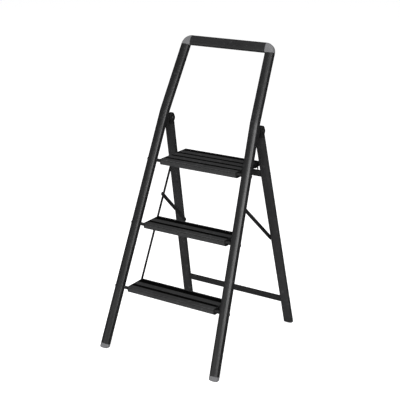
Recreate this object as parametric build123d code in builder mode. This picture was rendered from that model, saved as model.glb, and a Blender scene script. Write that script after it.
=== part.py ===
from build123d import *
import math
import os

# Folding three-step stool. Millimetres, +Z up, front towards -Y, origin on the floor
# at the middle of the footprint. It stands open; the steps fold up and the rear frame
# folds forward until everything lies between and behind the front rails.

# ---- driving dimensions -------------------------------------------------------------
STEP_RISE = 240.0            # floor to first step, and step to step
STEP_COUNT = 3
LEAN = 22.58                 # lower rails lean back from the vertical
HANDLE_LEAN = 28.75          # handle part above the bend leans back further
BAR_Z = 1157.5               # centreline of the top bar
BEND_Z = 896.8               # centreline of the bend in the rails
FOOT_Y = -299.15             # rail centreline on the floor
FOOT_X = 256.7
BEND_X = 206.4
BAR_X = 189.9                # rail centreline where it meets the top bar
REAR_FOOT = Vector(250.5, 299.75, 0)

TUBE_WIDTH = 38.6            # oval tube of rails, bar and rear legs
TUBE_DEPTH = 25.5
TUBE_CORNER = 6.5
TUBE_CROWN = 44.0            # radius of its slightly crowned front and rear faces
WALL = 1.6
FIT = 0.2                    # slack of a plug in a tube
RUN = 0.05                   # radial running clearance of a pin in its hole
BEND_RADIUS = 150.0

FRONT_FOOT_HEIGHT = 14.0
REAR_FOOT_HEIGHT = 6.0
PLUG_LENGTH = 22.0
FOOT_EDGE = 3.0
ELBOW_INNER_RADIUS = 1.5

STEP_THICK = 23.5
STEP_NOSE = 8.5              # front edge of a step ahead of its pivot
PIVOT_DROP = 8.5             # step pivot below the step's top
SIDE_GAP = 21.0              # between a step's end and the rail
TOP_DEPTH = 192.0
STEP_DEPTH = 108.0
FACE_SLANT = 4.5             # the front face leans back this far at its foot
FACE_SLOT_DROP = 3.6         # fine slot along the front face, below the top
FACE_SLOT_HEIGHT = 3.0
FACE_SLOT_DEPTH = 2.4
NOSE_ROUND = 2.0
TOE_ROUND = 3.5
HEEL_ROUND = 3.0
REAR_ROUND = 7.0
HEEL_START = 118.0           # behind here the underside of a deep step rises
HEEL_END = 127.0
HEEL_RISE = 6.5
NOSE_CHAMFER = 4.0           # keeps the wall whole behind the fine slot
NOSE_SHOULDER = 1.0
SKIN = 2.2
GROOVE_DEPTH = 4.0
SLATS_TOP = ((0.0, 28.0), (45.0, 71.0), (88.0, 114.0), (131.0, 157.0), (180.0, 192.0))
SLATS_SMALL = ((0.0, 25.0), (43.0, 68.0), (97.0, 108.0))
STRIP_BASE = 2.4             # grip strip in a groove, without its ribs
RIB_WIDTH = 1.3
RIB_PITCH = 2.6
RIB_HEIGHT = 0.9
STRIP_FIT = 0.3              # gap of a strip to each side of its groove
STRIP_END = 1.0              # gap of a strip to the end caps

END_PLATE = 5.0              # step's end cap outside the profile
CAP_RIM = 1.8
CAP_RECESS = 3.2
CAP_PLUG = 16.0
CAP_RIB = 1.4
HUB_R = 6.5                  # hub and spacer round the step's pivot
HUB_GAP = 1.2                # end of the spacer to the rail

PIN_R = 3.5
HEAD_R = 7.0
HEAD_HEIGHT = 1.6
HEAD_LIFT = 0.5              # head of a step pin off the rail
HINGE_HEAD_LIFT = 0.1
PIN_SEAT = 14.0              # a step pin reaches this far into the step
RIVET_R = 2.5
RIVET_HEAD_R = 5.0

ROD_REACH = 93.0             # rod pin behind the step pivot
ROD_DROP = 5.5               # rod pin below the step pivot
ROD_WIDTH = 12.0
ROD_THICK = 2.5
ROD_LAYER = 4.7              # middle of the rod outside a step's end
BRACE_WIDTH = 15.0
BRACE_THICK = 3.0
BRACE_LAYER = 10.4           # middle of the brace outside a step's end, at the rod
BRACE_Z = 562.0              # rivet of the brace on the rod
BRACE_ON_LEG = 479.0         # brace pivot on the leg, measured down from the hinge
LINK_GAP = 0.5

HINGE = Vector(207.2, 103.8, 861.0)
KNUCKLE_R = 15.5             # fork of the leg's cap, round the hinge pin
CROWN_R = 13.0
CROWN_RISE = 10.5            # rounded top of the fork above the hinge pin
FORK_EDGE = 2.0
SLOT_WIDTH = 13.0
SLOT_FLOOR = 13.0
TONGUE_WIDTH = 12.0
TONGUE_R = 11.0
TONGUE_LENGTH = 14.0
TONGUE_FLARE_LOW = 5.0
TONGUE_FLARE_HIGH = 14.0
LEG_TOP = 24.0               # leg tube starts this far below the hinge
COLLAR_TOP = 11.5
BASE_THICK = 3.0
BASE_LENGTH = 54.0
BASE_WIDTH = 33.0
BASE_DROP = 14.0             # the plate sits below the bend in the rail
SADDLE = 4.0                 # the plate wraps this far round the crowned rail
BASE_CORNER = 4.0
BASE_EDGE = 0.8
FLANGE_LENGTH = 42.0
FLANGE_DEPTH = 5.2
FLANGE_THICK = 3.0
FLANGE_ROUND = 1.2

UPPER_BAR_Z = 680.3
LOWER_BAR_Z = 109.0
UPPER_BAR_HEIGHT = 25.0
LOWER_BAR_HEIGHT = 25.0
CROSSBAR_DEPTH = 12.0
CROSSBAR_WALL = 1.5
HOOK_WIDTH = 3.0             # hooks sit under the very ends of the top step
HOOK_THICK = 2.5
HOOK_PLATE = 24.0            # plate under the step, in front of the lip
HOOK_SLOPE = 3.0
HOOK_REACH = 3.0             # the lip ends this far above the crossbar's middle
HOOK_ROUND = 1.0
HOOK_PLAY = 0.8
WELD_GAP = 0.05
REST_GAP = 0.3

SIDES = (("left", -1), ("right", 1))
STEPS = (
    ("lower", 1, STEP_DEPTH, SLATS_SMALL),
    ("middle", 2, STEP_DEPTH, SLATS_SMALL),
    ("top", 3, TOP_DEPTH, SLATS_TOP),
)

os.makedirs("parts", exist_ok=True)


# ---- geometry shared by the pieces --------------------------------------------------
def rail_y(z):
    return FOOT_Y + math.tan(math.radians(LEAN)) * z


def rail_x(z):
    return FOOT_X + (BEND_X - FOOT_X) * z / BEND_Z


def leg_point(z):
    return REAR_FOOT + (HINGE - REAR_FOOT) * (z / HINGE.Z)


def mirrored(point, side):
    return Vector(side * point.X, point.Y, point.Z)


def tube_plane(start, end):
    """Plane across a tube that runs from start to end, its local x nearest to world X."""
    along = (end - start).normalized()
    across = (Vector(1, 0, 0) - along * along.X).normalized()
    return Plane(origin=start, x_dir=across, z_dir=along)


def side_plane(x, y=0.0, z=0.0):
    """Plane facing +X, local x along world Y and local y along world Z."""
    return Plane(origin=(x, y, z), x_dir=(0, 1, 0), z_dir=(1, 0, 0))


def step_top(number):
    return number * STEP_RISE


def step_pivot(number):
    z = step_top(number) - PIVOT_DROP
    return Vector(0, rail_y(z), z)


def step_end(number):
    """Half the width of a step over its end plates."""
    return rail_x(step_pivot(number).Z) - TUBE_WIDTH / 2 - SIDE_GAP


def rod_pin(number):
    return step_pivot(number) + Vector(0, ROD_REACH, -ROD_DROP)


def save(part, label):
    part.label = label
    export_step(part, f"parts/{label}.step")


BEND_Y = rail_y(BEND_Z)
BAR_Y = BEND_Y + math.tan(math.radians(HANDLE_LEAN)) * (BAR_Z - BEND_Z)
LEG_DOWN = (REAR_FOOT - HINGE).normalized()
RAIL_UP = (Vector(BEND_X, BEND_Y, BEND_Z) - Vector(FOOT_X, FOOT_Y, 0)).normalized()
RAIL_BACK = Vector(0, math.cos(math.radians(LEAN)), -math.sin(math.radians(LEAN)))

ROD_SLOPE = (rod_pin(3) - rod_pin(1)).normalized()
BRACE_TOP = rod_pin(3) + ROD_SLOPE * ((BRACE_Z - rod_pin(3).Z) / ROD_SLOPE.Z)
BRACE_FOOT = HINGE + LEG_DOWN * BRACE_ON_LEG


# ---- front frame --------------------------------------------------------------------
handle_plane = Plane(
    origin=(0, BAR_Y, BAR_Z),
    x_dir=(1, 0, 0),
    z_dir=(0, -math.cos(math.radians(HANDLE_LEAN)), math.sin(math.radians(HANDLE_LEAN))),
)
handle_length = (BAR_Z - BEND_Z) / math.cos(math.radians(HANDLE_LEAN))
handle_flare = math.degrees(math.atan((BEND_X - BAR_X) / handle_length))
elbow_radius = TUBE_WIDTH / 2 + ELBOW_INNER_RADIUS
flare_sin = math.sin(math.radians(handle_flare))
flare_cos = math.cos(math.radians(handle_flare))
elbow_x = BAR_X - elbow_radius * (1 - flare_sin) / flare_cos


def in_handle(x, up):
    return handle_plane.from_local_coords(Vector(x, up, 0))


def tube_section(inset=0.0, mode=Mode.ADD):
    """Outline of the tube, shrunk by inset: crowned faces, flat sides, round corners."""
    with BuildSketch(mode=Mode.PRIVATE) as section:
        Rectangle(TUBE_WIDTH - 2 * inset, TUBE_DEPTH - 2 * inset)
        for face in (-1, 1):
            with Locations((0, face * (TUBE_CROWN - TUBE_DEPTH / 2))):
                Circle(TUBE_CROWN - inset, mode=Mode.INTERSECT)
        fillet(section.vertices(), TUBE_CORNER - inset)
    add(section.sketch, mode=mode)


def hollow_section():
    tube_section()
    tube_section(WALL, Mode.SUBTRACT)


def cross_hole(point, radius, length=80.0):
    """Cut a hole along X through the piece being built, at point."""
    with Locations(side_plane(point.X, point.Y, point.Z)):
        Cylinder(radius, length, mode=Mode.SUBTRACT)


def make_rail(name, side):
    foot = Vector(side * FOOT_X, FOOT_Y, 0)
    bend = Vector(side * BEND_X, BEND_Y, BEND_Z)
    along = (bend - foot).normalized()
    start = foot + along * (FRONT_FOOT_HEIGHT / along.Z)
    top = in_handle(side * (elbow_x + elbow_radius * flare_cos), -elbow_radius * (1 - flare_sin))
    with BuildPart() as rail:
        with BuildLine():
            FilletPolyline(start, bend, top, radius=BEND_RADIUS)
        with BuildSketch(tube_plane(start, bend)):
            hollow_section()
        sweep()
        for number in range(1, STEP_COUNT + 1):
            pivot = step_pivot(number)
            cross_hole(Vector(side * rail_x(pivot.Z), pivot.Y, pivot.Z), PIN_R + RUN)
    save(rail.part, f"rail_{name}")


def make_elbow(name, side):
    centre = in_handle(side * elbow_x, -elbow_radius)
    bar_end = in_handle(side * elbow_x, 0)
    rail_end = in_handle(
        side * (elbow_x + elbow_radius * flare_cos), -elbow_radius * (1 - flare_sin)
    )
    end_plane = Plane(origin=bar_end, x_dir=handle_plane.y_dir, z_dir=(side, 0, 0))
    below = (Vector(side * BEND_X, BEND_Y, BEND_Z) - rail_end).normalized()
    with BuildPart() as elbow:
        with BuildSketch(end_plane):
            tube_section()
        revolve(axis=Axis(centre, handle_plane.z_dir * -side), revolution_arc=90 - handle_flare)
        with BuildSketch(end_plane):
            tube_section(WALL + FIT)
        extrude(amount=-PLUG_LENGTH)
        with BuildSketch(tube_plane(rail_end, rail_end + below)):
            tube_section(WALL + FIT)
        extrude(amount=PLUG_LENGTH)
    save(elbow.part, f"elbow_{name}")


def make_bar():
    end_plane = Plane(origin=in_handle(-elbow_x, 0), x_dir=handle_plane.y_dir, z_dir=(1, 0, 0))
    with BuildPart() as bar:
        with BuildSketch(end_plane):
            hollow_section()
        extrude(amount=2 * elbow_x)
    save(bar.part, "handle_bar")


def make_foot(label, floor_point, along, height):
    """Plastic end cap: a plug in the tube and a shoe cut flat by the floor."""
    shoulder = floor_point + along * (height / along.Z)
    shoe_plane = tube_plane(shoulder, shoulder - along)
    with BuildPart() as foot:
        with BuildSketch(shoe_plane):
            tube_section()
        extrude(amount=height + TUBE_DEPTH)
        split(bisect_by=Plane.XY, keep=Keep.TOP)
        fillet(foot.faces().sort_by(Axis.Z)[0].edges(), FOOT_EDGE)
        with BuildSketch(shoe_plane):
            tube_section(WALL + FIT)
        extrude(amount=-PLUG_LENGTH)
    save(foot.part, label)


def headed_pin(start, end, radius, head_radius, head_height):
    """A pin along X from start to end with a domed head beyond start."""
    outward = 1 if start.X > end.X else -1
    with BuildSketch(side_plane(start.X, start.Y, start.Z)) as shank:
        Circle(radius)
    extrude(shank.sketch, amount=end.X - start.X)
    with BuildSketch(side_plane(start.X, start.Y, start.Z)) as head:
        Circle(head_radius)
    extrude(head.sketch, amount=outward * head_height, taper=30)


def make_step_pins(name, number):
    pivot = step_pivot(number)
    outer = rail_x(pivot.Z) + TUBE_WIDTH / 2 + HEAD_LIFT
    inner = step_end(number) - PIN_SEAT
    with BuildPart() as pins:
        for _, side in SIDES:
            headed_pin(
                Vector(side * outer, pivot.Y, pivot.Z),
                Vector(side * inner, pivot.Y, pivot.Z),
                PIN_R, HEAD_R, HEAD_HEIGHT,
            )
    save(pins.part, f"{name}_step_pins")


def make_hinge_bracket(name, side):
    """Plate on the rail's rear face with two short flanges and a tongue for the hinge pin."""
    hinge = mirrored(HINGE, side)
    rail_centre = Vector(hinge.X, rail_y(hinge.Z), hinge.Z)
    reach = (hinge - rail_centre).dot(RAIL_BACK)
    rail_up = Vector(0, math.sin(math.radians(LEAN)), math.cos(math.radians(LEAN)))
    face = hinge - RAIL_BACK * (reach - TUBE_DEPTH / 2)
    plate_plane = Plane(origin=face - rail_up * BASE_DROP, x_dir=(1, 0, 0), z_dir=RAIL_BACK)
    rail_low = rail_centre - rail_up * (BASE_DROP + BASE_LENGTH)
    rail_low.X = side * rail_x(rail_low.Z)
    tongue_plane = Plane(
        origin=hinge - Vector(TONGUE_WIDTH / 2, 0, 0), x_dir=RAIL_BACK * -1, z_dir=(1, 0, 0)
    )
    root = reach - TUBE_DEPTH / 2 - BASE_THICK / 2
    with BuildPart() as bracket:
        with BuildSketch(plate_plane):
            RectangleRounded(BASE_WIDTH, BASE_LENGTH, BASE_CORNER)
        extrude(amount=BASE_THICK)
        fillet(bracket.faces().sort_by(Axis(face, RAIL_BACK))[-1].edges(), BASE_EDGE)
        with BuildSketch(plate_plane):
            RectangleRounded(BASE_WIDTH, BASE_LENGTH, BASE_CORNER)
        extrude(amount=-SADDLE)
        with BuildSketch(plate_plane):
            for flange_side in (-1, 1):
                with Locations((flange_side * (BASE_WIDTH - FLANGE_THICK) / 2, 0)):
                    RectangleRounded(FLANGE_THICK, FLANGE_LENGTH, FLANGE_ROUND)
        extrude(amount=BASE_THICK + FLANGE_DEPTH)
        with BuildSketch(tongue_plane):
            Circle(TONGUE_R)
            Polygon(
                (0, -TONGUE_R), (TONGUE_LENGTH, -TONGUE_R), (root, -TONGUE_R - TONGUE_FLARE_LOW),
                (root, TONGUE_R + TONGUE_FLARE_HIGH), (TONGUE_LENGTH, TONGUE_R), (0, TONGUE_R),
                align=None,
            )
        extrude(amount=TONGUE_WIDTH)
        with BuildSketch(tube_plane(rail_low, rail_low + mirrored(RAIL_UP, side))):
            tube_section(-FIT / 2)
        extrude(amount=2 * BASE_LENGTH + BASE_DROP, mode=Mode.SUBTRACT)
        cross_hole(hinge, PIN_R + RUN)
    save(bracket.part, f"hinge_bracket_{name}")


def make_hinge_pins():
    half = TUBE_WIDTH / 2 + HINGE_HEAD_LIFT
    with BuildPart() as pins:
        for _, side in SIDES:
            hinge = mirrored(HINGE, side)
            outer = hinge + Vector(side * half, 0, 0)
            inner = hinge - Vector(side * half, 0, 0)
            headed_pin(outer, inner, PIN_R, HEAD_R, HEAD_HEIGHT)
            with BuildSketch(side_plane(inner.X, inner.Y, inner.Z)):
                Circle(HEAD_R)
            extrude(amount=-side * HEAD_HEIGHT, taper=30)
    save(pins.part, "hinge_pins")


# ---- rear frame ---------------------------------------------------------------------
def crossbar_rivets(z, height):
    return [leg_point(z + dz) for dz in (-height * 0.22, height * 0.22)]


def make_rear_leg(name, side):
    hinge = mirrored(HINGE, side)
    down = mirrored(LEG_DOWN, side)
    top = hinge + down * LEG_TOP
    foot = mirrored(REAR_FOOT, side) - down * (REAR_FOOT_HEIGHT / -down.Z)
    with BuildPart() as leg:
        with BuildSketch(tube_plane(top, foot)):
            hollow_section()
        extrude(amount=(foot - top).length)
        for z, height in ((UPPER_BAR_Z, UPPER_BAR_HEIGHT), (LOWER_BAR_Z, LOWER_BAR_HEIGHT)):
            for rivet in crossbar_rivets(z, height):
                cross_hole(mirrored(rivet, side), RIVET_R + RUN)
    save(leg.part, f"rear_leg_{name}")


def make_hinge_cap(name, side):
    """Moulded top of the rear leg: a fork round the bracket's tongue, a collar and a plug."""
    hinge = mirrored(HINGE, side)
    down = mirrored(LEG_DOWN, side)
    collar = hinge + down * LEG_TOP
    fork_plane = Plane(
        origin=hinge - Vector(TUBE_WIDTH / 2, 0, 0),
        x_dir=Vector(0, -LEG_DOWN.Y, -LEG_DOWN.Z),
        z_dir=(1, 0, 0),
    )
    with BuildPart() as cap:
        with BuildSketch(fork_plane) as fork:
            Circle(KNUCKLE_R)
            with Locations((CROWN_RISE, 0)):
                Circle(CROWN_R)
            make_hull(fork.edges())
        extrude(amount=TUBE_WIDTH)
        fillet(cap.faces().filter_by(Axis.X).edges(), FORK_EDGE)
        with BuildSketch(tube_plane(collar, hinge)):
            tube_section()
        extrude(amount=LEG_TOP - COLLAR_TOP)
        with BuildSketch(fork_plane.offset((TUBE_WIDTH - SLOT_WIDTH) / 2)):
            with Locations(((2 * KNUCKLE_R - SLOT_FLOOR) / 2 + CROWN_RISE / 2, 0)):
                Rectangle(2 * KNUCKLE_R + SLOT_FLOOR + CROWN_RISE, 3 * KNUCKLE_R)
        extrude(amount=SLOT_WIDTH, mode=Mode.SUBTRACT)
        with BuildSketch(tube_plane(collar, collar + down)):
            tube_section(WALL + FIT)
        extrude(amount=PLUG_LENGTH)
        cross_hole(hinge, PIN_R + RUN)
    save(cap.part, f"rear_hinge_cap_{name}")


def leg_inner(z):
    return leg_point(z).X - TUBE_WIDTH / 2 / LEG_DOWN.cross(Vector(1, 0, 0)).length


def make_crossbar(label, z, height):
    centre = leg_point(z)
    half = leg_inner(z + height / 2) - 0.1
    bar_plane = Plane(
        origin=(-half, centre.Y, centre.Z), x_dir=Vector(0, -LEG_DOWN.Y, -LEG_DOWN.Z), z_dir=(1, 0, 0)
    )
    with BuildPart() as bar:
        with BuildSketch(bar_plane):
            RectangleRounded(height, CROSSBAR_DEPTH, 2.5)
            RectangleRounded(
                height - 2 * CROSSBAR_WALL, CROSSBAR_DEPTH - 2 * CROSSBAR_WALL, 1.0, mode=Mode.SUBTRACT
            )
        extrude(amount=2 * half)
    save(bar.part, label)


def make_crossbar_rivets(label, z, height):
    """Two rivets per side, through the leg into a nut block in the end of the crossbar."""
    centre = leg_point(z)
    block_end = leg_inner(z + height / 2) - 0.1
    with BuildPart() as rivets:
        for _, side in SIDES:
            block_plane = Plane(
                origin=(side * block_end, centre.Y, centre.Z),
                x_dir=Vector(0, -LEG_DOWN.Y, -LEG_DOWN.Z),
                z_dir=(-side, 0, 0),
            )
            with BuildSketch(block_plane):
                RectangleRounded(
                    height - 2 * CROSSBAR_WALL - FIT, CROSSBAR_DEPTH - 2 * CROSSBAR_WALL - FIT, 1.0
                )
            extrude(amount=14.0)
            for rivet in crossbar_rivets(z, height):
                outer = rivet.X + TUBE_WIDTH / 2 + 0.4
                headed_pin(
                    Vector(side * outer, rivet.Y, rivet.Z),
                    Vector(side * (block_end - 4), rivet.Y, rivet.Z),
                    RIVET_R, RIVET_HEAD_R, HEAD_HEIGHT,
                )
    save(rivets.part, label)


# ---- steps --------------------------------------------------------------------------
def step_grooves(slats):
    """Middle and width of each groove between two slats."""
    return [((end + start) / 2, start - end) for (_, end), (start, _) in zip(slats[:-1], slats[1:])]


def front_skin(z):
    """Inner side of the leaning front wall, at height z above a step's underside."""
    return FACE_SLANT * (1 - z / STEP_THICK) + SKIN


def step_cells(depth, slats, inset=0.0):
    """Corners of a step's hollow cells, one under each slat and one under each groove."""
    web = SKIN / 2
    slat_high = STEP_THICK - SKIN - inset
    groove_high = slat_high - GROOVE_DEPTH
    cells = []
    for start, end in slats[1:]:
        rear = min(end, depth - web) - web - inset
        high = groove_high if end == depth else slat_high
        cells.append((start + web + inset, rear, high))
    for (_, end), (start, _) in zip(slats[:-1], slats[1:]):
        cells.append((end + web + inset, start - web - inset, groove_high))
    corners = []
    for front, rear, high in cells:
        low = SKIN + inset + (HEEL_RISE if rear > HEEL_START else 0)
        corners.append(((front, low), (rear, low), (rear, high), (front, high)))
    low = SKIN + inset
    shoulder = groove_high - NOSE_SHOULDER
    nose_rear = slats[0][1] - web - inset
    corners.append((
        (front_skin(low) + inset, low), (nose_rear, low), (nose_rear, slat_high),
        (front_skin(slat_high) + NOSE_CHAMFER, slat_high), (front_skin(shoulder) + inset, shoulder),
    ))
    return corners


def step_plane(number, x):
    """Local x runs back from the step's front edge, local y up from its underside."""
    pivot = step_pivot(number)
    return side_plane(x, pivot.Y - STEP_NOSE, step_top(number) - STEP_THICK)


def step_outline(profile, depth, inset=0.0):
    """Side view of a step in the sketch being drawn: leaning front face, raised heel."""
    top = STEP_THICK - inset
    heel = [(depth - inset, inset)]
    if depth > HEEL_END:
        heel = [(HEEL_START, inset), (HEEL_END, HEEL_RISE + inset), (depth - inset, HEEL_RISE + inset)]
    Polygon((inset, top), (FACE_SLANT + inset, inset), *heel, (depth - inset, top), align=None)
    fillet(profile.vertices().group_by(Axis.Y)[0].sort_by(Axis.X)[0], TOE_ROUND - inset)
    fillet(profile.vertices().group_by(Axis.Y)[-1].sort_by(Axis.X)[0], NOSE_ROUND - inset)
    fillet(profile.vertices().group_by(Axis.X)[-1].sort_by(Axis.Y)[0], HEEL_ROUND - inset)
    fillet(profile.vertices().group_by(Axis.X)[-1].sort_by(Axis.Y)[-1], REAR_ROUND - inset)


def make_tread(name, number, depth, slats):
    half = step_end(number) - END_PLATE
    slot_y = FACE_SLANT * FACE_SLOT_DROP / STEP_THICK
    with BuildPart() as tread:
        with BuildSketch(step_plane(number, -half)) as profile:
            step_outline(profile, depth)
            with Locations((slot_y, STEP_THICK - FACE_SLOT_DROP)):
                Rectangle(2 * FACE_SLOT_DEPTH, FACE_SLOT_HEIGHT, mode=Mode.SUBTRACT)
            for middle, width in step_grooves(slats):
                with Locations((middle, STEP_THICK)):
                    Rectangle(width, 2 * GROOVE_DEPTH, mode=Mode.SUBTRACT)
            for corners in step_cells(depth, slats):
                Polygon(*corners, align=None, mode=Mode.SUBTRACT)
        extrude(amount=2 * half)
    save(tread.part, f"{name}_step_tread")


def make_grip_strips(name, number, slats):
    """Ribbed rubber strips pressed into the grooves."""
    half = step_end(number) - END_PLATE - STRIP_END
    floor = STEP_THICK - GROOVE_DEPTH
    with BuildPart() as strips:
        with BuildSketch(step_plane(number, -half)):
            for middle, width in step_grooves(slats):
                with Locations((middle, floor + STRIP_BASE / 2)):
                    Rectangle(width - 2 * STRIP_FIT, STRIP_BASE)
                ribs = int((width - 2 * STRIP_FIT - RIB_WIDTH) // RIB_PITCH) + 1
                with Locations((middle, floor + STRIP_BASE + RIB_HEIGHT / 2)):
                    with GridLocations(RIB_PITCH, 0, ribs, 1):
                        Rectangle(RIB_WIDTH, RIB_HEIGHT)
        extrude(amount=2 * half)
    save(strips.part, f"{name}_step_grip_strips")


def make_step_cap(name, number, depth, slats, side_name, side):
    """End cap with plugs in the step's cells, a ribbed recess, and a hub round the pivot."""
    end = step_end(number)
    pivot = step_pivot(number)
    pin = rod_pin(number)
    hub = (STEP_NOSE, STEP_THICK - PIVOT_DROP)
    boss = (STEP_NOSE + ROD_REACH, STEP_THICK - PIVOT_DROP - ROD_DROP)
    with BuildPart() as cap:
        with BuildSketch(step_plane(number, side * end)) as outline:
            step_outline(outline, depth)
        extrude(amount=-side * END_PLATE)
        with BuildSketch(step_plane(number, side * end)) as recess:
            step_outline(recess, depth, CAP_RIM)
            for middle, _ in step_grooves(slats):
                with Locations((middle, STEP_THICK / 2)):
                    Rectangle(CAP_RIB, STEP_THICK, mode=Mode.SUBTRACT)
            with Locations(hub):
                Circle(HUB_R, mode=Mode.SUBTRACT)
            with Locations(boss):
                Circle(ROD_WIDTH / 2, mode=Mode.SUBTRACT)
        extrude(amount=-side * CAP_RECESS, mode=Mode.SUBTRACT)
        with BuildSketch(step_plane(number, side * (end - END_PLATE))):
            for corners in step_cells(depth, slats, FIT):
                Polygon(*corners, align=None)
        extrude(amount=-side * CAP_PLUG)
        with BuildSketch(step_plane(number, side * end)):
            with Locations(hub):
                Circle(HUB_R)
        extrude(amount=side * (SIDE_GAP - HUB_GAP))
        cross_hole(Vector(side * end, pivot.Y, pivot.Z), PIN_R + RUN)
        cross_hole(Vector(side * end, pin.Y, pin.Z), RIVET_R + RUN, 2 * END_PLATE + 2)
    save(cap.part, f"{name}_step_cap_{side_name}")


def make_rod_pins(name, number):
    """Rivets that hold the tie rods on a step's lugs, headed outside the rod."""
    pin = rod_pin(number)
    end = step_end(number)
    head = end + ROD_LAYER + ROD_THICK / 2 + LINK_GAP
    with BuildPart() as pins:
        for _, side in SIDES:
            headed_pin(
                Vector(side * head, pin.Y, pin.Z),
                Vector(side * (end - END_PLATE), pin.Y, pin.Z),
                RIVET_R, RIVET_HEAD_R - 0.5, HEAD_HEIGHT,
            )
    save(pins.part, f"{name}_rod_pins")


def make_lock_hook(name, side):
    """Steel rest under an end of the top step, with a lip behind the upper crossbar."""
    bar = leg_point(UPPER_BAR_Z)
    lean = math.atan2(-LEG_DOWN.Y, -LEG_DOWN.Z)
    half_height = UPPER_BAR_HEIGHT / 2 * math.cos(lean) + CROSSBAR_DEPTH / 2 * abs(math.sin(lean))
    half_depth = UPPER_BAR_HEIGHT / 2 * abs(math.sin(lean)) + CROSSBAR_DEPTH / 2 * math.cos(lean)
    top = step_top(3) - STEP_THICK + HEEL_RISE - WELD_GAP
    rest = bar.Z + half_height + REST_GAP
    lip = bar.Y + half_depth + HOOK_PLAY
    tip = bar.Z + HOOK_REACH
    with BuildPart() as hook:
        with BuildSketch(side_plane(side * (step_end(3) - HOOK_WIDTH))):
            with BuildLine():
                Polyline(
                    (lip - HOOK_PLATE, top), (lip - HOOK_PLATE + HOOK_SLOPE, top - HOOK_THICK),
                    (lip - HOOK_SLOPE, top - HOOK_THICK), (lip - HOOK_SLOPE, rest), (lip, rest),
                    (lip, tip), (lip + HOOK_THICK, tip), (lip + HOOK_THICK, top), close=True,
                )
            make_face()
        extrude(amount=side * HOOK_WIDTH)
        fillet(hook.edges().filter_by(Axis.X).group_by(Axis.Z)[0], HOOK_ROUND)
    save(hook.part, f"lock_hook_{name}")


# ---- links --------------------------------------------------------------------------
def rod_x(point):
    """Middle of the rod at a point's height, the same distance outside the steps' ends."""
    low, high = rod_pin(1), rod_pin(3)
    share = (point.Z - low.Z) / (high.Z - low.Z)
    return step_end(1) + (step_end(3) - step_end(1)) * share + ROD_LAYER


def link_plane(start, end):
    """Plane whose local x runs along the link, local z is the link's own thickness."""
    along = (end - start).normalized()
    across = Vector(0, -along.Z, along.Y).normalized()
    return Plane(origin=start, x_dir=along, z_dir=along.cross(across))


def make_flat_link(start, end, width, thick, holes, hole_radius):
    """Flat bar with rounded ends; holes are cut along X."""
    length = (end - start).length
    flat = link_plane(start, end)
    with BuildSketch(flat.offset(-thick / 2)) as outline:
        with Locations((length / 2, 0)):
            SlotOverall(length + width, width)
    extrude(outline.sketch, amount=thick)
    for point in holes:
        cross_hole(point, hole_radius, 20.0)


def make_tie_rod(name, side):
    points = [rod_pin(number) for number in (1, 2, 3)]
    placed = [Vector(side * rod_x(point), point.Y, point.Z) for point in points]
    rivet = Vector(side * rod_x(BRACE_TOP), BRACE_TOP.Y, BRACE_TOP.Z)
    with BuildPart() as rod:
        make_flat_link(placed[0], placed[2], ROD_WIDTH, ROD_THICK, placed, RIVET_R + RUN)
        cross_hole(rivet, RIVET_R + RUN, 20.0)
    save(rod.part, f"tie_rod_{name}")


def brace_ends(side):
    top_x = rod_x(BRACE_TOP) - ROD_LAYER + BRACE_LAYER
    foot_x = leg_inner(BRACE_FOOT.Z) - LINK_GAP - 3.5
    top = Vector(side * top_x, BRACE_TOP.Y, BRACE_TOP.Z)
    foot = Vector(side * foot_x, BRACE_FOOT.Y, BRACE_FOOT.Z)
    return top, foot


def make_brace(name, side):
    top, foot = brace_ends(side)
    with BuildPart() as brace:
        make_flat_link(top, foot, BRACE_WIDTH, BRACE_THICK, [top, foot], RIVET_R + RUN)
    save(brace.part, f"brace_link_{name}")


def make_rod_rivet(name, side):
    """Shouldered rivet fixed in the tie rod, with a spacer that carries the brace."""
    top, _ = brace_ends(side)
    inner = rod_x(BRACE_TOP) - ROD_THICK / 2
    spacer_start = rod_x(BRACE_TOP) + ROD_THICK / 2 + LINK_GAP
    spacer_end = abs(top.X) - BRACE_THICK / 2 - LINK_GAP
    head = abs(top.X) + BRACE_THICK / 2 + LINK_GAP
    with BuildPart() as rivet:
        headed_pin(
            Vector(side * head, top.Y, top.Z),
            Vector(side * inner, top.Y, top.Z),
            RIVET_R, RIVET_HEAD_R - 0.5, HEAD_HEIGHT,
        )
        with BuildSketch(side_plane(side * spacer_start, top.Y, top.Z)):
            Circle(RIVET_HEAD_R - 0.5)
        extrude(amount=side * (spacer_end - spacer_start))
    save(rivet.part, f"rod_rivet_{name}")


def make_brace_rivet(name, side):
    """Rivet at the leg end of the brace; its outer head stands just clear of the leg."""
    _, foot = brace_ends(side)
    reach = BRACE_THICK / 2 + 0.35
    with BuildPart() as rivet:
        headed_pin(
            foot - Vector(side * reach, 0, 0), foot + Vector(side * reach, 0, 0),
            RIVET_R, RIVET_HEAD_R, HEAD_HEIGHT,
        )
        with BuildSketch(side_plane(foot.X + side * reach, foot.Y, foot.Z)):
            Circle(RIVET_HEAD_R)
        extrude(amount=side * 1.2)
    save(rivet.part, f"brace_rivet_{name}")


# ---- build --------------------------------------------------------------------------
make_bar()
make_hinge_pins()
for side_name, sign in SIDES:
    make_rail(side_name, sign)
    make_elbow(side_name, sign)
    make_foot(f"front_foot_{side_name}", Vector(sign * FOOT_X, FOOT_Y, 0),
              mirrored(RAIL_UP, sign), FRONT_FOOT_HEIGHT)
    make_hinge_bracket(side_name, sign)
    make_rear_leg(side_name, sign)
    make_hinge_cap(side_name, sign)
    make_foot(f"rear_foot_{side_name}", mirrored(REAR_FOOT, sign),
              mirrored(LEG_DOWN, sign) * -1, REAR_FOOT_HEIGHT)
    make_lock_hook(side_name, sign)
    make_tie_rod(side_name, sign)
    make_brace(side_name, sign)
    make_rod_rivet(side_name, sign)
    make_brace_rivet(side_name, sign)

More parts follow.
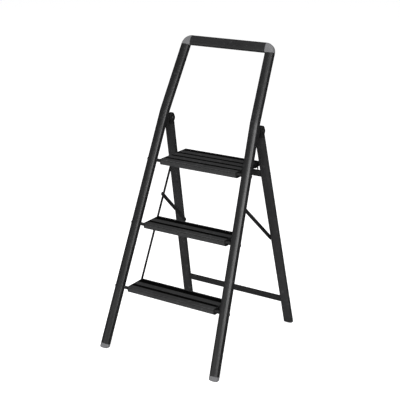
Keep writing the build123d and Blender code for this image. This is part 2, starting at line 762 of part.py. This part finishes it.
make_crossbar("rear_upper_crossbar", UPPER_BAR_Z, UPPER_BAR_HEIGHT)
make_crossbar("rear_lower_crossbar", LOWER_BAR_Z, LOWER_BAR_HEIGHT)
make_crossbar_rivets("upper_crossbar_rivets", UPPER_BAR_Z, UPPER_BAR_HEIGHT)
make_crossbar_rivets("lower_crossbar_rivets", LOWER_BAR_Z, LOWER_BAR_HEIGHT)

for step_name, step_number, step_depth, step_slats in STEPS:
    make_tread(step_name, step_number, step_depth, step_slats)
    make_grip_strips(step_name, step_number, step_slats)
    make_step_pins(step_name, step_number)
    make_rod_pins(step_name, step_number)
    for side_name, sign in SIDES:
        make_step_cap(step_name, step_number, step_depth, step_slats, side_name, sign)
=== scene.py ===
import math

import bpy
from mathutils import Matrix, Vector

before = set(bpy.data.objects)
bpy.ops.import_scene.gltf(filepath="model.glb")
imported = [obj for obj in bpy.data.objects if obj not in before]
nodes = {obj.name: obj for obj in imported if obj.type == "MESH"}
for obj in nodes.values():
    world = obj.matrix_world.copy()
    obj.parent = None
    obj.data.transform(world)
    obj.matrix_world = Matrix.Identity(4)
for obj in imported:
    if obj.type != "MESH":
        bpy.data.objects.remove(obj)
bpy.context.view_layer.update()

# ---- camera, as a product picture taken from the front right -------------------------
AIM = Vector((-0.00304, 0.01326, 0.57357))
AZIMUTH = math.radians(33.1)
ELEVATION = math.radians(18.45)
ROLL = math.radians(-0.354)
DISTANCE = 3.9324
LENS = 90.26

# rails, handle bar, crossbars and rear legs share one black frame finish; the three greys below
# differ as painted light and shade, darker on the rails and lighter on the bar and legs, to suit
# how the lamps fall on each
RAIL_PAINT_SHADED = 0.013
BAR_PAINT_LIT = 0.017
LEG_PAINT_LIT = 0.023
TREAD_PAINT = 0.031
ELBOW_GREY = 0.138
FOOT_GREY = 0.145
STEEL_PAINT = 0.014
PIN_PAINT = 0.012
CAP_BLACK = 0.01
# near-black for the strips in the tread grooves: painted shade standing in for the dark recessed
# grooves
GROOVE_SHADE_BLACK = 0.0018

UP_RAIL = Vector((-0.0512, 0.384, 0.923))    # along the right rail and leg; x flips on the left
UP_LEG = Vector((-0.0503, -0.2276, 1.0))
ACROSS = Vector((1, 0, 0))

LOOK_AT = Vector((0, 0, 0.55))
FILL = 0.28
MIRRORED_FILL = 0.02
FLOOR_SIZE = 40
FLOOR_GREY = 0.9
FLOOR_GLOW = 0.75


def make_camera():
    back = Vector((
        math.sin(AZIMUTH) * math.cos(ELEVATION),
        -math.cos(AZIMUTH) * math.cos(ELEVATION),
        math.sin(ELEVATION),
    ))
    data = bpy.data.cameras.new("camera")
    data.lens = LENS
    data.sensor_width = 36.0
    data.clip_end = 100.0
    camera = bpy.data.objects.new("camera", data)
    bpy.context.scene.collection.objects.link(camera)
    level = back.to_track_quat("Z", "Y").to_matrix().to_4x4()
    roll = Matrix.Rotation(ROLL, 4, "Z")
    camera.matrix_world = Matrix.Translation(AIM + back * DISTANCE) @ level @ roll
    bpy.context.scene.camera = camera


# ---- studio --------------------------------------------------------------------------
def area_light(name, place, size, power):
    data = bpy.data.lights.new(name, "AREA")
    data.shape = "RECTANGLE"
    data.size, data.size_y = size
    data.energy = power
    lamp = bpy.data.objects.new(name, data)
    bpy.context.scene.collection.objects.link(lamp)
    lamp.location = place
    lamp.rotation_euler = (place - LOOK_AT).to_track_quat("Z", "Y").to_euler()


def make_world():
    """White behind the stool, soft fill on matt surfaces, little to mirror in glossy ones."""
    world = bpy.data.worlds.new("studio")
    world.use_nodes = True
    tree = world.node_tree
    tree.nodes.clear()
    path = tree.nodes.new("ShaderNodeLightPath")
    shader = None
    for strength, ray in ((FILL, None), (MIRRORED_FILL, "Is Glossy Ray"), (1.0, "Is Camera Ray")):
        background = tree.nodes.new("ShaderNodeBackground")
        background.inputs["Color"].default_value = (1, 1, 1, 1)
        background.inputs["Strength"].default_value = strength
        layer = background.outputs[0]
        if ray is not None:
            mix = tree.nodes.new("ShaderNodeMixShader")
            tree.links.new(path.outputs[ray], mix.inputs[0])
            tree.links.new(shader, mix.inputs[1])
            tree.links.new(layer, mix.inputs[2])
            layer = mix.outputs[0]
        shader = layer
    tree.links.new(shader, tree.nodes.new("ShaderNodeOutputWorld").inputs[0])
    bpy.context.scene.world = world


def make_floor():
    bpy.ops.mesh.primitive_plane_add(size=FLOOR_SIZE)
    floor = bpy.context.object
    floor.name = "floor"
    white = bpy.data.materials.new("floor_white")
    white.use_nodes = True
    shader = white.node_tree.nodes["Principled BSDF"]
    shader.inputs["Base Color"].default_value = (FLOOR_GREY, FLOOR_GREY, FLOOR_GREY, 1)
    shader.inputs["Roughness"].default_value = 0.9
    shader.inputs["Emission Color"].default_value = (1, 1, 1, 1)
    shader.inputs["Emission Strength"].default_value = FLOOR_GLOW
    floor.data.materials.append(white)
    floor.visible_glossy = False


def studio_place(azimuth, elevation, distance):
    """A place round the stool, azimuth 0 straight in front and positive to the right."""
    azimuth, elevation = math.radians(azimuth), math.radians(elevation)
    return LOOK_AT + distance * Vector((
        math.sin(azimuth) * math.cos(elevation),
        -math.cos(azimuth) * math.cos(elevation),
        math.sin(elevation),
    ))


def make_lights():
    area_light("key", studio_place(11, 27, 4.0), (2.1, 2.4), 96)
    area_light("top", studio_place(60, 75, 3.2), (2.2, 2.2), 66)
    area_light("sheen", studio_place(-33, 0, 4.0), (1.8, 1.4), 7)


# ---- materials -----------------------------------------------------------------------
class Recipe:
    """Builds one Principled material from procedural nodes."""

    def __init__(self, name):
        self.material = bpy.data.materials.new(name)
        self.material.use_nodes = True
        self.tree = self.material.node_tree
        self.shader = self.tree.nodes["Principled BSDF"]
        self.coords = self.node("ShaderNodeTexCoord")

    def node(self, kind, **values):
        made = self.tree.nodes.new(kind)
        for key, value in values.items():
            setattr(made, key, value)
        return made

    def link(self, source, target):
        self.tree.links.new(source, target)

    def noise(self, scale, detail=3.0, stretch=(1, 1, 1), along=None):
        """Noise in metres, stretched on its own axes; along turns its Z to that direction."""
        mapping = self.node("ShaderNodeMapping", vector_type="TEXTURE")
        mapping.inputs["Scale"].default_value = [1.0 / s for s in stretch]
        if along is not None:
            turn = Vector((0, 0, 1)).rotation_difference(Vector(along).normalized())
            mapping.inputs["Rotation"].default_value = turn.to_euler()
        self.link(self.coords.outputs["Object"], mapping.inputs["Vector"])
        texture = self.node("ShaderNodeTexNoise")
        texture.inputs["Scale"].default_value = scale
        texture.inputs["Detail"].default_value = detail
        self.link(mapping.outputs["Vector"], texture.inputs["Vector"])
        return texture.outputs["Fac"]

    def remap(self, source, low, high):
        ramp = self.node("ShaderNodeMapRange")
        ramp.inputs["From Min"].default_value = 0.3
        ramp.inputs["From Max"].default_value = 0.7
        ramp.inputs["To Min"].default_value = low
        ramp.inputs["To Max"].default_value = high
        self.link(source, ramp.inputs["Value"])
        return ramp.outputs["Result"]

    def colour_between(self, factor, first, second):
        mix = self.node("ShaderNodeMix", data_type="RGBA")
        mix.inputs["A"].default_value = (*first, 1)
        mix.inputs["B"].default_value = (*second, 1)
        self.link(factor, mix.inputs["Factor"])
        self.link(mix.outputs["Result"], self.shader.inputs["Base Color"])

    def rub(self, patches, worn):
        """Lighten the few places where patches peaks, as handling does."""
        peaks = self.node("ShaderNodeMapRange")
        peaks.inputs["From Min"].default_value = 0.6
        peaks.inputs["From Max"].default_value = 0.78
        mix = self.node("ShaderNodeMix", data_type="RGBA")
        self.link(patches, peaks.inputs["Value"])
        self.link(peaks.outputs["Result"], mix.inputs["Factor"])
        self.link(self.shader.inputs["Base Color"].links[0].from_socket, mix.inputs["A"])
        mix.inputs["B"].default_value = (*worn, 1)
        self.link(mix.outputs["Result"], self.shader.inputs["Base Color"])

    def bump(self, *layers):
        """Each layer is (height output, strength, distance in metres)."""
        last = None
        for height, strength, distance in layers:
            bump = self.node("ShaderNodeBump")
            bump.inputs["Strength"].default_value = strength
            bump.inputs["Distance"].default_value = distance
            self.link(height, bump.inputs["Height"])
            if last is not None:
                self.link(last, bump.inputs["Normal"])
            last = bump.outputs["Normal"]
        self.link(last, self.shader.inputs["Normal"])


def grey(value):
    return (value, value, value * 1.03)


def painted_tube(name, base, along, roughness=0.32, specular=0.5):
    """Satin powder coat: faint draw lines, a fine pebble, uneven sheen, a few scuffs."""
    recipe = Recipe(name)
    streaks = recipe.noise(260, 2, (1, 1, 0.02), along)
    clouds = recipe.noise(9, 4)
    pebble = recipe.noise(2600, 2)
    recipe.colour_between(recipe.remap(clouds, 0, 1), grey(base * 0.85), grey(base * 1.15))
    recipe.rub(recipe.noise(70, 5), grey(base * 2.2))
    sheen = recipe.remap(streaks, roughness - 0.05, roughness + 0.05)
    recipe.link(sheen, recipe.shader.inputs["Roughness"])
    recipe.shader.inputs["Specular IOR Level"].default_value = specular
    recipe.bump((pebble, 0.12, 0.0002), (streaks, 0.06, 0.0003))
    return recipe.material


def moulded_plastic(name, base, roughness=0.6, grain=1500, specular=0.3):
    """Injection-moulded plastic with a fine spark-eroded grain and a few dull handling marks."""
    recipe = Recipe(name)
    grain_height = recipe.noise(grain, 3)
    clouds = recipe.noise(14, 3)
    marks = recipe.noise(120, 5, (1, 0.15, 1))
    recipe.colour_between(recipe.remap(clouds, 0, 1), grey(base * 0.9), grey(base * 1.1))
    recipe.rub(recipe.noise(90, 4), grey(base * 1.5))
    sheen = recipe.remap(marks, roughness - 0.08, roughness + 0.08)
    recipe.link(sheen, recipe.shader.inputs["Roughness"])
    recipe.shader.inputs["Specular IOR Level"].default_value = specular
    recipe.bump((grain_height, 0.25, 0.00015), (marks, 0.05, 0.0002))
    return recipe.material


def paint(name, material):
    target = nodes[name].data
    target.materials.clear()
    target.materials.append(material)


def on_side(vector, sign):
    return Vector((sign * vector.x, vector.y, vector.z))


def paint_everything():
    for side, sign in (("left", -1), ("right", 1)):
        up_rail = on_side(UP_RAIL, sign)
        up_leg = on_side(UP_LEG, sign)
        # the rails take a darker grey of the frame finish as painted shade, the legs a lighter
        # grey as painted light
        paint(f"rail_{side}", painted_tube(f"rail_paint_shaded_{side}", RAIL_PAINT_SHADED, up_rail))
        paint(f"rear_leg_{side}", painted_tube(f"leg_paint_lit_{side}", LEG_PAINT_LIT, up_leg))
        steel = painted_tube(f"link_steel_{side}", STEEL_PAINT, up_rail, 0.45)
        for node in ("tie_rod", "brace_link", "rod_rivet", "brace_rivet", "hinge_bracket"):
            paint(f"{node}_{side}", steel)
    # the bar and crossbars take a lighter grey of the frame finish as painted light
    bar = painted_tube("bar_paint_lit", BAR_PAINT_LIT, ACROSS)
    for node in ("handle_bar", "rear_upper_crossbar", "rear_lower_crossbar"):
        paint(node, bar)
    tread = painted_tube("tread_paint", TREAD_PAINT, ACROSS, 0.5)
    pins = painted_tube("pin_steel", PIN_PAINT, ACROSS, 0.4)
    black = moulded_plastic("black_plastic", CAP_BLACK)
    elbow_grey = moulded_plastic("elbow_grey", ELBOW_GREY, 0.7, specular=0.05)
    foot_grey = moulded_plastic("foot_grey", FOOT_GREY, 0.7, specular=0.1)
    # the groove strips are kept near-black as painted shade in the tread grooves
    groove_shade_paint = moulded_plastic("grip_rubber", GROOVE_SHADE_BLACK, 0.95, 900, 0.03)
    for name in nodes:
        if "tread" in name:
            paint(name, tread)
        # strips in the tread grooves: near-black painted shade
        elif "grip_strips" in name:
            paint(name, groove_shade_paint)
        elif "pins" in name or "rivets" in name:
            paint(name, pins)
        elif "elbow" in name:
            paint(name, elbow_grey)
        elif "foot" in name:
            paint(name, foot_grey)
        elif "cap" in name or "hook" in name:
            paint(name, black)


make_camera()
make_world()
make_floor()
make_lights()
bpy.context.scene.view_settings.view_transform = "Standard"
paint_everything()
